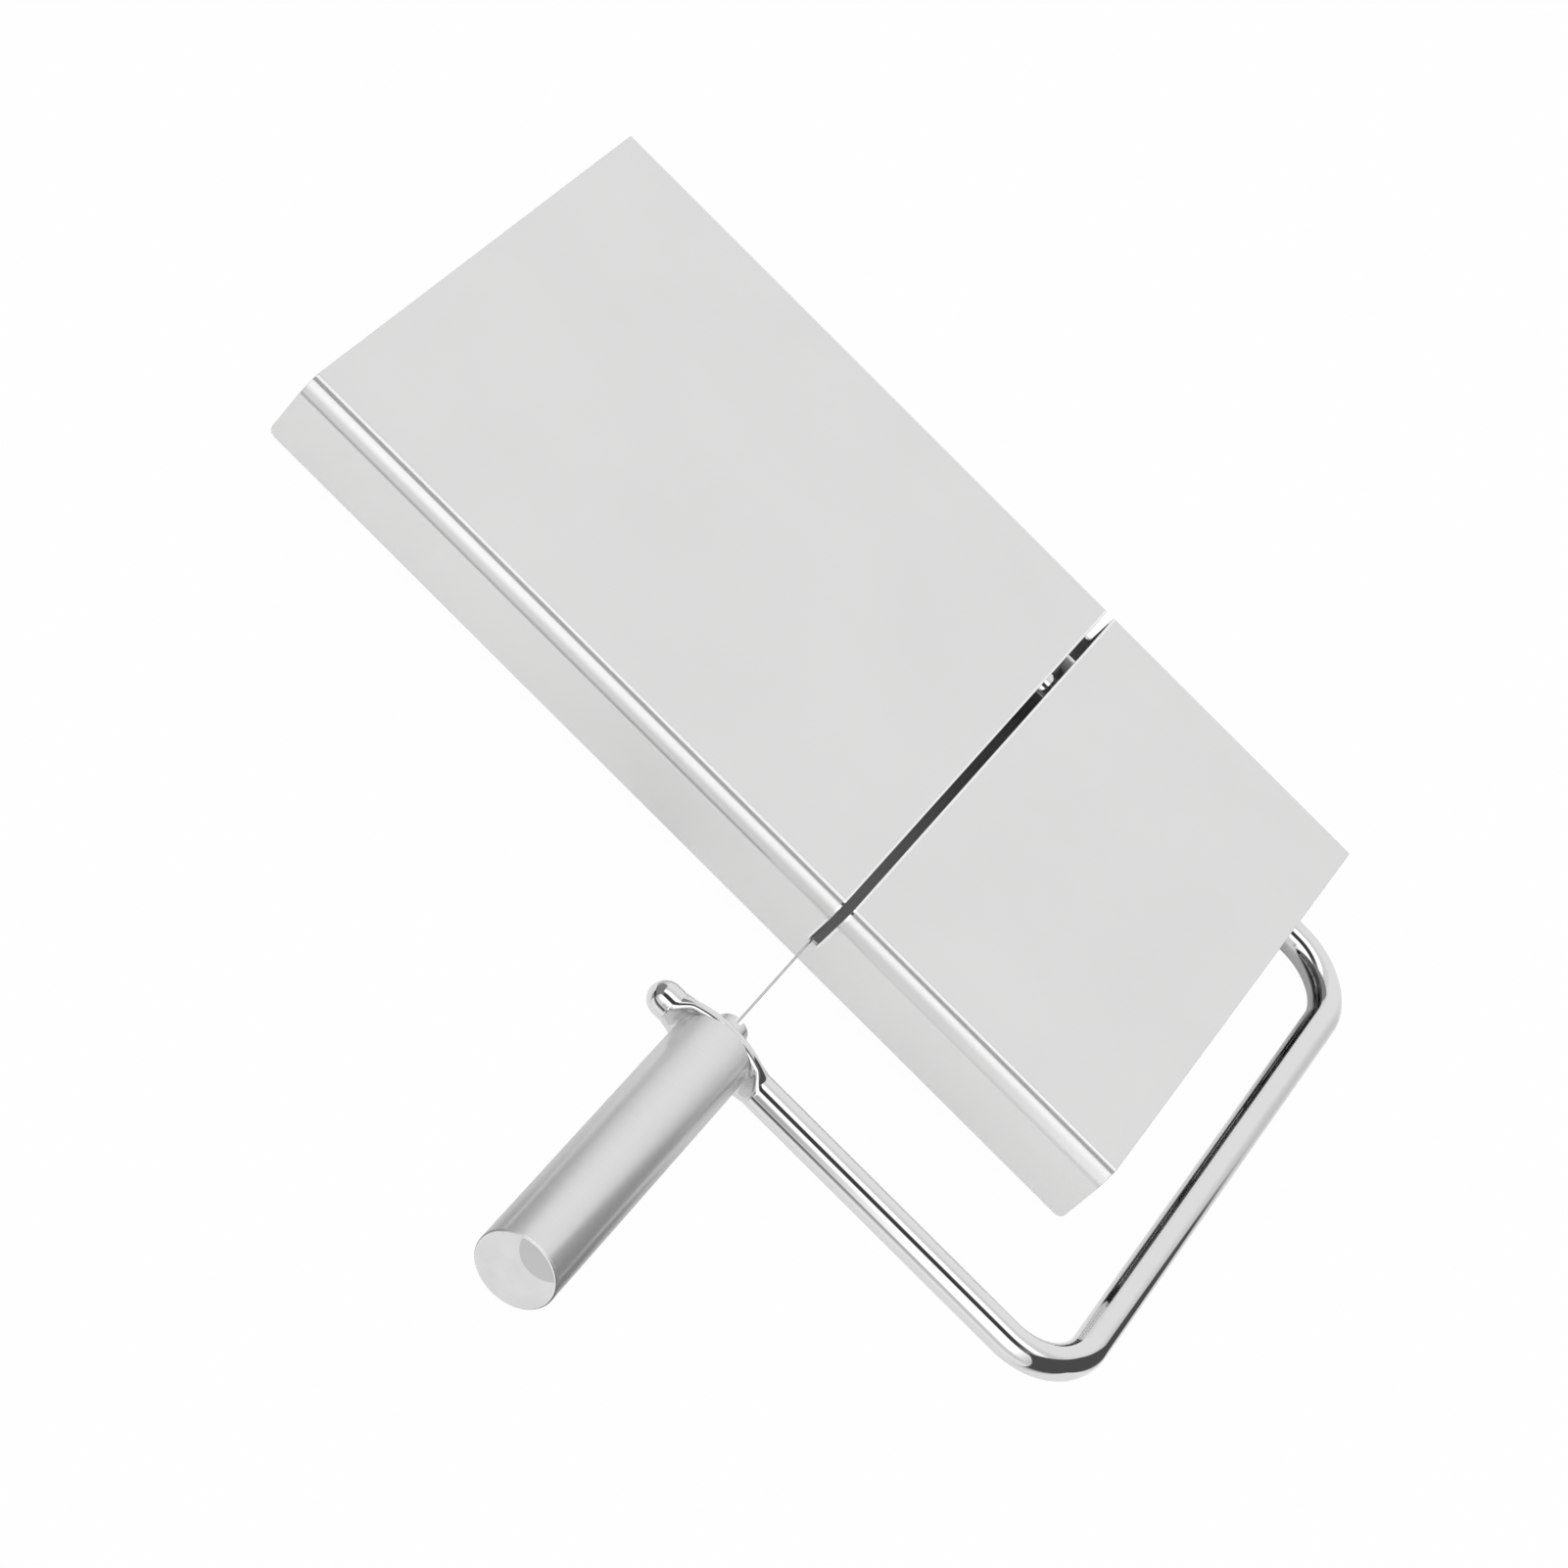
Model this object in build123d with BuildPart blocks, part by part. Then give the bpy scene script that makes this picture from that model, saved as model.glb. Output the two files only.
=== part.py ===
from build123d import *
from math import radians, sin
import os

# Wire butter slicer: a folded steel board with a slot, and a bent rod bow that carries
# a taut cutting wire and a tubular screw handle.
# Frame: X along the board, -Y towards the handle, +Z up, the table at Z = 0.
# The origin is the middle of the overall footprint, on the table.  Millimetres.

os.makedirs("parts", exist_ok=True)

# ---------------------------------------------------------------- driving dimensions
# board: one sheet, folded down along both long edges
board_length = 210.0
board_width = 130.0
board_height = 16.2            # lower edge of the lips to the cutting face
sheet = 1.0
# outside radii of the three arcs that make each fold, and the angle from the cutting
# face where the first and the second one end
crease_radius = 1.2
crease_angle = 34.0
fold_radius = 6.2
fold_angle = 76.0
lip_root_radius = 4.4
lip_corner_radius = 1.6

# slot for the wire, across the board and down into both lips
slot_from_right = 70.0         # right end of the board to the middle of the slot
slot_width = 2.0
slot_floor_height = 5.4        # lower edge of the lips to the floor of the slot in the front lip
back_slot_higher = 0.7         # the round floor in the back lip lies this much higher

# wire and what holds its ends
wire_diameter = 0.5
wire_offset = 0.5              # the wire runs this much left of the slot's middle
wire_to_floor = 0.1
wire_hole = 0.9
barrel_diameter = 5.0
barrel_length = 4.0
barrel_edge_radius = 0.8
ball_diameter = 2.6
ball_to_seat = 0.05

# bow: one rod, bent twice, with its front end forged flat into an eye
rod_diameter = 7.0
rod_bend = 14.0                # bend radius of the rod's centreline
side_gap = 14.0                # right end of the board to the rod
front_gap = 36.5               # front lip to the rod
hinge_from_back = 23.4         # back edge of the board to the hinge axis
hinge_end_overhang = 8.0       # wire to the rod's hinge end
rod_end_chamfer = 0.8
barrel_seat_depth = 0.5
eye_thickness = 3.0
eye_height = 13.2
eye_half_length = 11.0
eye_runout = 1.9               # radius where the flats run out into the round rod
eye_edge_radius = 1.3
eye_root_height = 6.0          # height of the eye where it meets the round rod
eye_root_length = 1.0          # how far the eye reaches into the round rod
eye_to_rod_end = 16.0          # wire to the domed tip of the rod

# hinge brackets and retaining rings
bracket_sheet = 2.0
bracket_width = 16.0
bracket_flange = 14.0
bracket_bend = 1.0             # inside radius
bracket_corner_radius = 2.0
bracket_ear_radius = 6.2
inner_bracket_from_slot = 14.0
outer_bracket_from_right = 24.0
ring_thickness = 1.0
ring_diameter = 11.0
ring_groove_depth = 0.4
ring_opening = 5.4
ring_to_ear = 0.3

# tension stud
stud_diameter = 7.0
stud_out = 5.4                 # how far the slotted end stands out of the eye
stud_in = 1.2                  # how far the thick part reaches into the handle
stud_edge_radius = 0.6
stud_slot_width = 1.3
stud_slot_depth = 1.6
thread_diameter = 4.9          # M5 thread, drawn at its outside diameter
thread_length = 18.0
ball_seat_depth = 6.4          # slotted end to the seat of the wire's ball
ball_bore = 3.2

# handle
handle_diameter = 16.0
handle_length = 73.0           # over the end cap
handle_wall = 1.0
handle_edge_radius = 0.4
handle_to_table = 0.35
insert_length = 22.0
insert_counterbore_depth = 5.0
cap_thickness = 1.0
cap_spigot_length = 6.0
cap_edge = 0.3

# rubber feet
foot_diameter = 12.0
foot_tip_diameter = 10.0
foot_inset = 13.0              # edges of the board to the middle of a foot
foot_edge_radius = 0.8

# fits, on radius
running_fit = 0.05
press_gap = 0.02
face_gap = 0.05

# ---------------------------------------------------------------- places worked out from them
wire_height = slot_floor_height + wire_to_floor + wire_diameter / 2
stand_height = handle_diameter / 2 + handle_to_table - wire_height
lip_z = stand_height
top_z = lip_z + board_height
under_z = top_z - sheet
axis_z = lip_z + wire_height

side_reach = board_length + side_gap + rod_diameter
rod_to_lip = front_gap + rod_diameter / 2
front_reach = board_width + rod_to_lip + eye_thickness / 2 + face_gap + handle_length
board_x = (board_length - side_reach) / 2
board_y = (front_reach - board_width) / 2
board_right = board_x + board_length / 2
board_front = board_y - board_width / 2
board_back = board_y + board_width / 2

slot_x = board_right - slot_from_right
wire_x = slot_x - wire_offset
side_x = board_right + side_gap + rod_diameter / 2
hinge_y = board_back - hinge_from_back
front_y = board_front - rod_to_lip
rod_radius = rod_diameter / 2
eye_front_y = front_y - eye_thickness / 2
eye_back_y = front_y + eye_thickness / 2
handle_y = eye_front_y - face_gap
handle_end_y = handle_y - handle_length
hinge_end_x = wire_x - hinge_end_overhang
dome_x = wire_x - eye_to_rod_end + rod_radius
barrel_y = hinge_y + rod_radius - barrel_seat_depth
stud_back_y = eye_back_y + stud_out
stud_shoulder_y = handle_y - stud_in
ball_seat_y = stud_back_y - ball_seat_depth
ball_y = ball_seat_y - ball_to_seat - ball_diameter / 2
wire_end_y = ball_y - ball_diameter / 4
handle_bore_radius = handle_diameter / 2 - handle_wall


def facing_front(y):
    """Plane on the wire's line, square to it at y, whose normal points to the handle."""
    return Plane(origin=(wire_x, y, axis_z), x_dir=(1, 0, 0), z_dir=(0, -1, 0))


def facing_right(x):
    """Plane on the hinge axis, square to it at x, whose normal points to the right."""
    return Plane(origin=(x, hinge_y, axis_z), x_dir=(0, 1, 0), z_dir=(1, 0, 0))


# ---------------------------------------------------------------- board plate
fold_across = (crease_radius * sin(radians(crease_angle))
               + fold_radius * (sin(radians(fold_angle)) - sin(radians(crease_angle)))
               + lip_root_radius * (1 - sin(radians(fold_angle))))
with BuildPart() as board_plate:
    left_end = Plane(origin=(board_right - board_length, board_y, lip_z), x_dir=(0, 1, 0), z_dir=(1, 0, 0))
    with BuildSketch(left_end):
        with BuildLine():
            for inset in (0, sheet):
                flat_half = board_width / 2 - fold_across
                flat = Line((-flat_half, board_height - inset), (flat_half, board_height - inset))
                for side, fold_start in ((-1, flat @ 0), (1, flat @ 1)):
                    crease = JernArc(fold_start, (side, 0), crease_radius - inset, -side * crease_angle)
                    fold = JernArc(crease @ 1, crease % 1, fold_radius - inset,
                                   -side * (fold_angle - crease_angle))
                    lip_root = JernArc(fold @ 1, fold % 1, lip_root_radius - inset,
                                       -side * (90 - fold_angle))
                    Line(lip_root @ 1, (side * (board_width / 2 - inset), 0))
            for side in (-1, 1):
                Line((side * board_width / 2, 0), (side * (board_width / 2 - sheet), 0))
        make_face()
    extrude(amount=board_length)
    # slot: square floor in the front lip, round floor in the back lip
    slot_plane = Plane(origin=(slot_x, board_y, lip_z), x_dir=(1, 0, 0), z_dir=(0, -1, 0))
    with BuildSketch(slot_plane):
        with Locations((0, (slot_floor_height + board_height) / 2)):
            Rectangle(slot_width, board_height - slot_floor_height)
    extrude(amount=board_width / 2, mode=Mode.SUBTRACT)
    back_slot_centre = slot_floor_height + back_slot_higher + slot_width / 2
    with BuildSketch(slot_plane):
        with Locations((0, (back_slot_centre + board_height) / 2)):
            Rectangle(slot_width, board_height - back_slot_centre)
        with Locations((0, back_slot_centre)):
            Circle(slot_width / 2)
    extrude(amount=-board_width / 2, mode=Mode.SUBTRACT)
    lip_ends = board_plate.edges().filter_by(Axis.Y).group_by(Axis.Z)[0]
    outer_lip_ends = lip_ends.group_by(Axis.X)[0] + lip_ends.group_by(Axis.X)[-1]
    fillet(outer_lip_ends, lip_corner_radius)
board_plate.part.label = "board_plate"
export_step(board_plate.part, "parts/board_plate.step")


# ---------------------------------------------------------------- hinge brackets
def make_bracket(ear_x, flange_side):
    """Folded bracket: a flange under the sheet and an ear that carries the rod.

    flange_side is 1 where the flange points right of the ear, -1 where it points left."""
    ear_start = ear_x - bracket_sheet / 2
    flange_z = under_z - bracket_sheet / 2
    flange_middle = ear_x + flange_side * (bracket_flange - bracket_sheet) / 2
    with BuildPart() as bracket:
        with BuildSketch(facing_right(ear_start)):
            Circle(bracket_ear_radius)
            with Locations((0, flange_z - axis_z)):
                Rectangle(bracket_width, bracket_sheet)
            make_hull()
        extrude(amount=bracket_sheet)
        with Locations((flange_middle, hinge_y, flange_z)):
            Box(bracket_flange, bracket_width, bracket_sheet)
        free_corners = bracket.edges().filter_by(Axis.Z).sort_by(Axis.X, reverse=flange_side > 0)[:2]
        fillet(free_corners, bracket_corner_radius)
        folds = bracket.edges().filter_by(Axis.Y)
        inner_fold = (ear_x + flange_side * bracket_sheet / 2, hinge_y, under_z - bracket_sheet)
        fillet(folds.sort_by_distance(inner_fold)[0], bracket_bend)
        outer_fold = (ear_x - flange_side * bracket_sheet / 2, hinge_y, under_z)
        fillet(folds.sort_by_distance(outer_fold)[0], bracket_bend + bracket_sheet)
        with BuildSketch(facing_right(ear_start)):
            Circle(rod_radius + running_fit)
        extrude(amount=bracket_sheet, mode=Mode.SUBTRACT)
    return bracket.part


inner_ear_x = slot_x + inner_bracket_from_slot
outer_ear_x = board_right - outer_bracket_from_right
for bracket_name, bracket_x, side in (
    ("hinge_bracket_inner", inner_ear_x, 1),
    ("hinge_bracket_outer", outer_ear_x, -1),
):
    hinge_bracket = make_bracket(bracket_x, side)
    hinge_bracket.label = bracket_name
    export_step(hinge_bracket, f"parts/{bracket_name}.step")

# ---------------------------------------------------------------- rubber feet
foot_x = board_length / 2 - foot_inset
foot_y = board_width / 2 - foot_inset
for foot_name, place_x, place_y in (
    ("foot_front_left", board_x - foot_x, board_y - foot_y),
    ("foot_front_right", board_x + foot_x, board_y - foot_y),
    ("foot_back_left", board_x - foot_x, board_y + foot_y),
    ("foot_back_right", board_x + foot_x, board_y + foot_y),
):
    with BuildPart() as foot:
        with BuildSketch(Plane(origin=(place_x, place_y, 0))):
            Circle(foot_tip_diameter / 2)
        with BuildSketch(Plane(origin=(place_x, place_y, under_z))):
            Circle(foot_diameter / 2)
        loft()
        fillet(foot.edges().group_by(Axis.Z)[0], foot_edge_radius)
    foot.part.label = foot_name
    export_step(foot.part, f"parts/{foot_name}.step")

# ---------------------------------------------------------------- bow rod
with BuildPart() as bow_rod:
    with BuildLine():
        FilletPolyline(
            (hinge_end_x, hinge_y, axis_z),
            (side_x, hinge_y, axis_z),
            (side_x, front_y, axis_z),
            (dome_x, front_y, axis_z),
            radius=rod_bend,
        )
    with BuildSketch(facing_right(hinge_end_x)):
        Circle(rod_radius)
    sweep()
    chamfer(bow_rod.faces().filter_by(Axis.X).sort_by(Axis.Y)[-1].edges(), rod_end_chamfer)
    with Locations((dome_x, front_y, axis_z)):
        Sphere(rod_radius)
    # both flats of the eye
    for flat_side in (-1, 1):
        with BuildSketch(Plane(origin=(wire_x, front_y, axis_z - rod_diameter))) as flat_cut:
            with Locations((0, flat_side * (eye_thickness / 2 + rod_radius))):
                Rectangle(2 * eye_half_length, 2 * rod_radius)
            floor_corners = flat_cut.vertices().sort_by(Axis.Y, reverse=flat_side < 0)[:2]
            fillet(floor_corners, eye_runout)
        extrude(amount=2 * rod_diameter, mode=Mode.SUBTRACT)
bow_blank = bow_rod.part

eye_reach = eye_half_length + eye_root_length
with BuildPart() as eye:
    with BuildSketch(facing_front(eye_back_y)):
        with BuildLine():
            upper = ThreePointArc((-eye_reach, eye_root_height / 2), (0, eye_height / 2),
                                  (eye_reach, eye_root_height / 2))
            lower = ThreePointArc((-eye_reach, -eye_root_height / 2), (0, -eye_height / 2),
                                  (eye_reach, -eye_root_height / 2))
            Line(upper @ 0, lower @ 0)
            Line(upper @ 1, lower @ 1)
        make_face()
    extrude(amount=eye_thickness)
    round_edges = eye.edges().filter_by(GeomType.CIRCLE)
    fillet(round_edges, eye_edge_radius)

with BuildPart() as bow:
    add(bow_blank)
    add(eye.part)
    # bore for the stud
    with BuildSketch(facing_front(eye_back_y + rod_radius)):
        Circle(stud_diameter / 2 + running_fit)
    extrude(amount=eye_thickness + 2 * rod_radius, mode=Mode.SUBTRACT)
    # hole for the wire and seat for its barrel
    with BuildSketch(facing_front(hinge_y + rod_diameter)):
        Circle(wire_hole / 2)
    extrude(amount=2 * rod_diameter, mode=Mode.SUBTRACT)
    with BuildSketch(facing_front(hinge_y + rod_diameter)):
        Circle(barrel_diameter / 2 + running_fit)
    extrude(amount=hinge_y + rod_diameter - barrel_y, mode=Mode.SUBTRACT)
    # grooves for the retaining rings, one each side of the inner ear
    for ring_side in (-1, 1):
        ring_middle = inner_ear_x + ring_side * (bracket_sheet / 2 + ring_to_ear + ring_thickness / 2)
        with BuildSketch(facing_right(ring_middle - ring_thickness / 2 - press_gap)):
            Circle(rod_diameter)
            Circle(rod_radius - ring_groove_depth, mode=Mode.SUBTRACT)
        extrude(amount=ring_thickness + 2 * press_gap, mode=Mode.SUBTRACT)
bow.part.label = "bow_rod"
export_step(bow.part, "parts/bow_rod.step")

# ---------------------------------------------------------------- retaining rings
for ring_name, ring_side in (("retaining_ring_left", -1), ("retaining_ring_right", 1)):
    ring_middle = inner_ear_x + ring_side * (bracket_sheet / 2 + ring_to_ear + ring_thickness / 2)
    with BuildPart() as ring:
        with BuildSketch(facing_right(ring_middle - ring_thickness / 2)):
            Circle(ring_diameter / 2)
            Circle(rod_radius - ring_groove_depth + press_gap, mode=Mode.SUBTRACT)
            with Locations((-ring_diameter / 2, 0)):
                Rectangle(ring_diameter, ring_opening, mode=Mode.SUBTRACT)
        extrude(amount=ring_thickness)
    ring.part.label = ring_name
    export_step(ring.part, f"parts/{ring_name}.step")

# ---------------------------------------------------------------- cutting wire, barrel and ball
wire_start_y = barrel_y + barrel_length
with BuildPart() as cutting_wire:
    with BuildSketch(facing_front(wire_start_y)):
        Circle(wire_diameter / 2)
    extrude(amount=wire_start_y - wire_end_y)
cutting_wire.part.label = "cutting_wire"
export_step(cutting_wire.part, "parts/cutting_wire.step")

with BuildPart() as wire_barrel:
    with BuildSketch(facing_front(wire_start_y)):
        Circle(barrel_diameter / 2)
    extrude(amount=barrel_length)
    fillet(wire_barrel.edges().group_by(Axis.Y)[-1], barrel_edge_radius)
    with BuildSketch(facing_front(wire_start_y)):
        Circle(wire_diameter / 2 + press_gap)
    extrude(amount=barrel_length, mode=Mode.SUBTRACT)
wire_barrel.part.label = "wire_barrel"
export_step(wire_barrel.part, "parts/wire_barrel.step")

with BuildPart() as wire_ball:
    with Locations((wire_x, ball_y, axis_z)):
        Sphere(ball_diameter / 2)
    with BuildSketch(facing_front(ball_y + ball_diameter)):
        Circle(wire_diameter / 2 + press_gap)
    extrude(amount=ball_y + ball_diameter - wire_end_y + press_gap, mode=Mode.SUBTRACT)
wire_ball.part.label = "wire_ball"
export_step(wire_ball.part, "parts/wire_ball.step")

# ---------------------------------------------------------------- tension stud
with BuildPart() as tension_stud:
    with BuildSketch(facing_front(stud_back_y)):
        Circle(stud_diameter / 2)
    extrude(amount=stud_back_y - stud_shoulder_y)
    fillet(tension_stud.edges().group_by(Axis.Y)[-1], stud_edge_radius)
    with BuildSketch(facing_front(stud_shoulder_y)):
        Circle(thread_diameter / 2)
    extrude(amount=thread_length)
    with BuildSketch(facing_front(stud_back_y)):
        Rectangle(stud_slot_width, 2 * stud_diameter)
    extrude(amount=stud_slot_depth, mode=Mode.SUBTRACT)
    with BuildSketch(facing_front(stud_back_y)):
        Circle(wire_hole / 2)
    extrude(amount=ball_seat_depth, mode=Mode.SUBTRACT)
    with BuildSketch(facing_front(ball_seat_y)):
        Circle(ball_bore / 2)
    extrude(amount=ball_seat_y - stud_shoulder_y + thread_length, mode=Mode.SUBTRACT)
tension_stud.part.label = "tension_stud"
export_step(tension_stud.part, "parts/tension_stud.step")

# ---------------------------------------------------------------- handle
tube_length = handle_length - cap_thickness
with BuildPart() as handle_tube:
    with BuildSketch(facing_front(handle_y)):
        Circle(handle_diameter / 2)
    extrude(amount=tube_length)
    fillet(handle_tube.edges().group_by(Axis.Y)[-1], handle_edge_radius)
    with BuildSketch(facing_front(handle_y)):
        Circle(handle_bore_radius)
    extrude(amount=tube_length, mode=Mode.SUBTRACT)
handle_tube.part.label = "handle_tube"
export_step(handle_tube.part, "parts/handle_tube.step")

with BuildPart() as handle_insert:
    with BuildSketch(facing_front(handle_y)):
        Circle(handle_bore_radius - press_gap)
        Circle(thread_diameter / 2 + running_fit, mode=Mode.SUBTRACT)
    extrude(amount=insert_length)
    with BuildSketch(facing_front(handle_y)):
        Circle(stud_diameter / 2 + 2 * running_fit)
    extrude(amount=insert_counterbore_depth, mode=Mode.SUBTRACT)
handle_insert.part.label = "handle_insert"
export_step(handle_insert.part, "parts/handle_insert.step")

with BuildPart() as handle_end_cap:
    with BuildSketch(facing_front(handle_end_y + cap_thickness)):
        Circle(handle_diameter / 2)
    extrude(amount=cap_thickness)
    chamfer(handle_end_cap.edges().group_by(Axis.Y)[0], cap_edge)
    with BuildSketch(facing_front(handle_end_y + cap_thickness + cap_spigot_length)):
        Circle(handle_bore_radius - press_gap)
    extrude(amount=cap_spigot_length)
handle_end_cap.part.label = "handle_end_cap"
export_step(handle_end_cap.part, "parts/handle_end_cap.step")
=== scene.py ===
import bmesh
import bpy
import math
from mathutils import Matrix, Vector


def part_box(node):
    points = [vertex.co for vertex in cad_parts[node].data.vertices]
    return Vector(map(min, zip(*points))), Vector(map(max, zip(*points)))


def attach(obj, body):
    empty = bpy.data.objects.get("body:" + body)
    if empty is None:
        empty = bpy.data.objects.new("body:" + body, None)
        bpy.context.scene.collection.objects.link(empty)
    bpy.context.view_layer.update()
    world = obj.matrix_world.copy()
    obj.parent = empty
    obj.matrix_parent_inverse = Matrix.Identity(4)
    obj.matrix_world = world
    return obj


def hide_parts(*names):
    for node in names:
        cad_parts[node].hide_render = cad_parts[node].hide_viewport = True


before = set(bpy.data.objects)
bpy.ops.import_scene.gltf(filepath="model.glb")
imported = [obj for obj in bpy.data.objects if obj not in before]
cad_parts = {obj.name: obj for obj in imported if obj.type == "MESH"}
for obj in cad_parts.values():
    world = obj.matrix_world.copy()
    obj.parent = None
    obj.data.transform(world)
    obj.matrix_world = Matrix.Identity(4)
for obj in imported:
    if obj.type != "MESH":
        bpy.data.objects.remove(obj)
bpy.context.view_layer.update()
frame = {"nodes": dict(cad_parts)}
nodes = frame["nodes"]

MM = 0.001
TINY = 0.001 * MM


# ---------------------------------------------------------------- shader helpers
DIRECTION, ON_OBJECT = 0, 3                # outputs of Texture Coordinate
COLOUR_BELOW, COLOUR_ABOVE, COLOUR_MIXED = 6, 7, 2       # colour sockets of Mix


class Value:
    """One output of a node. Sums and products of values add Math nodes."""

    def __init__(self, nodes, socket):
        self.nodes = nodes
        self.socket = socket

    def math(self, operation, *values):
        sockets = dict(enumerate(values or (self,)))
        return self.nodes.add("ShaderNodeMath", {"operation": operation}, sockets)

    def __add__(self, other):
        return self.math("ADD", self, other)

    __radd__ = __add__

    def __sub__(self, other):
        return self.math("SUBTRACT", self, other)

    def __rsub__(self, other):
        return self.math("SUBTRACT", other, self)

    def __mul__(self, other):
        return self.math("MULTIPLY", self, other)

    __rmul__ = __mul__

    def __pow__(self, other):
        return self.math("POWER", self, other)

    def __lt__(self, other):
        return self.math("LESS_THAN", self, other)


class Nodes:
    """A node tree under way."""

    def __init__(self, tree):
        self.tree = tree
        tree.nodes.clear()

    def add(self, kind, settings=None, sockets=None, output=0):
        """A new node: its settings first, then its sockets' values or links."""
        node = self.tree.nodes.new(kind)
        for name, value in (settings or {}).items():
            setattr(node, name, value)
        for key, value in (sockets or {}).items():
            socket = node.inputs[key]
            if isinstance(value, Value):
                self.tree.links.new(value.socket, socket)
            elif isinstance(value, tuple) and socket.type == "RGBA":
                socket.default_value = (*value, 1)
            else:
                socket.default_value = value
        return Value(self, node.outputs[output]) if node.outputs else None

    def split(self, vector):
        """The X, Y and Z of a vector."""
        node = self.add("ShaderNodeSeparateXYZ", None, {0: vector}).socket.node
        return [Value(self, socket) for socket in node.outputs]

    def step(self, value, start, end, low=0.0, high=1.0):
        """Low before start, high after end, and a smooth rise between."""
        return self.add(
            "ShaderNodeMapRange",
            {"interpolation_type": "SMOOTHSTEP"},
            {"Value": value, "From Min": start, "From Max": end, "To Min": low, "To Max": high},
        )

    def band(self, value, start, end, soft):
        """One between start and end, nothing outside, with soft edges."""
        return self.step(value, start - soft, start + soft) * self.step(
            value, end - soft, end + soft, 1.0, 0.0
        )

    def mix(self, factor, below, above):
        """A plain number that goes from below to above."""
        return self.add("ShaderNodeMix", {"data_type": "FLOAT"}, {0: factor, 2: below, 3: above})

    def mix_colour(self, factor, below, above):
        """A colour that goes from below to above."""
        sockets = {0: factor, COLOUR_BELOW: below, COLOUR_ABOVE: above}
        return self.add("ShaderNodeMix", {"data_type": "RGBA"}, sockets, COLOUR_MIXED)

    def noise(self, place, scale, detail=2.0, roughness=0.5):
        sockets = {"Vector": place, "Scale": scale, "Detail": detail, "Roughness": roughness}
        return self.add("ShaderNodeTexNoise", None, sockets)

    def stretched(self, place, scale):
        return self.add("ShaderNodeMapping", None, {"Vector": place, "Scale": scale})

    def ray_is(self, kind):
        """One where the light path is of this kind."""
        return Value(self, self.add("ShaderNodeLightPath").socket.node.outputs[kind])


def finish(name):
    """A new material, its node tree, and the place on the object."""
    material = bpy.data.materials.new(name)
    material.use_nodes = True
    build = Nodes(material.node_tree)
    return material, build, build.add("ShaderNodeTexCoord", None, None, ON_OBJECT)


def metal(build, colour, roughness, bump=None, bump_depth=0.0, haze=None, haze_roughness=0.45):
    """Bare metal. Haze is the share of the light that the grain scatters wide."""
    sockets = {"Base Color": colour, "Metallic": 1.0, "Roughness": roughness}
    if bump is not None:
        sockets["Normal"] = build.add(
            "ShaderNodeBump", None, {"Strength": 1.0, "Distance": bump_depth, "Height": bump}
        )
    shader = build.add("ShaderNodeBsdfPrincipled", None, sockets)
    if haze is not None:
        sockets["Roughness"] = haze_roughness
        wide = build.add("ShaderNodeBsdfPrincipled", None, sockets)
        shader = build.add("ShaderNodeMixShader", None, {0: haze, 1: shader, 2: wide})
    build.add("ShaderNodeOutputMaterial", None, {"Surface": shader})


# ---------------------------------------------------------------- finishes
SLOT_MIDDLE, SLOT_HALF = 24.5 * MM, 1.0 * MM
FRONT_SLOT_FLOOR, BACK_SLOT_FLOOR = 8.0 * MM, 8.7 * MM
WIRE_X, AXIS_Z = 24.0 * MM, 8.35 * MM
CAP_FACE = 7.62 * MM           # radius where the cap's face meets its rim
CAP_FACE_SOFT = 0.1 * MM
PAINTED_REFLECTION_X, PAINTED_REFLECTION_Z = 25.9 * MM, 16.1 * MM      # middle of the painted dark reflection, a darker round patch over the cap's upper edge
PAINTED_REFLECTION_RADIUS, PAINTED_REFLECTION_SOFT = 5.1 * MM, 0.12 * MM
POLISH_AND_HIGHLIGHT_WIDTH = 0.5 * MM           # width of the polished strip beside the slot, whose lighter colour is a painted highlight
POLISH_AND_HIGHLIGHT_SOFT, POLISH_AND_HIGHLIGHT_END = 0.06 * MM, 0.4 * MM


def sheet_finish():
    """Bright rolled sheet: nearly a mirror, with a faint grain, handling marks, and a polished
    strip beside the slot whose lighter colour is a painted highlight.
    """
    material, build, place = finish("bright_sheet_steel")
    cloud = build.noise(place, 38.0, 3.0)
    grain = build.noise(build.stretched(place, (60.0, 1400.0, 1400.0)), 1.0, 2.0)
    roughness = 0.15 + 0.04 * (cloud - 0.5) + 0.03 * (grain - 0.5)
    shade = build.mix_colour(cloud, (0.92, 0.92, 0.915), (0.965, 0.965, 0.96))
    x, y, z = build.split(place)
    from_slot = (x - SLOT_MIDDLE).math("ABSOLUTE")
    # polished strip beside the slot: smoother, without haze, and lighter in colour as a painted
    # highlight
    polish_and_highlight = build.band(from_slot, SLOT_HALF, SLOT_HALF + POLISH_AND_HIGHLIGHT_WIDTH, POLISH_AND_HIGHLIGHT_SOFT)
    polish_and_highlight = polish_and_highlight * build.step(
        z, FRONT_SLOT_FLOOR - POLISH_AND_HIGHLIGHT_END, FRONT_SLOT_FLOOR + POLISH_AND_HIGHLIGHT_END
    )
    shade = build.mix_colour(polish_and_highlight, shade, (0.985, 0.985, 0.98))
    metal(build, shade, roughness, grain, 0.002 * MM, 0.55 * (1 - polish_and_highlight), 0.8)
    return material


def polished_finish():
    """Chrome-bright polished rod."""
    material, build, place = finish("polished_rod_steel")
    cloud = build.noise(place, 90.0, 2.0)
    roughness = 0.04 + 0.02 * cloud
    shade = build.mix_colour(cloud, (0.81, 0.81, 0.81), (0.84, 0.84, 0.84))
    metal(build, shade, roughness)
    return material


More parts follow.
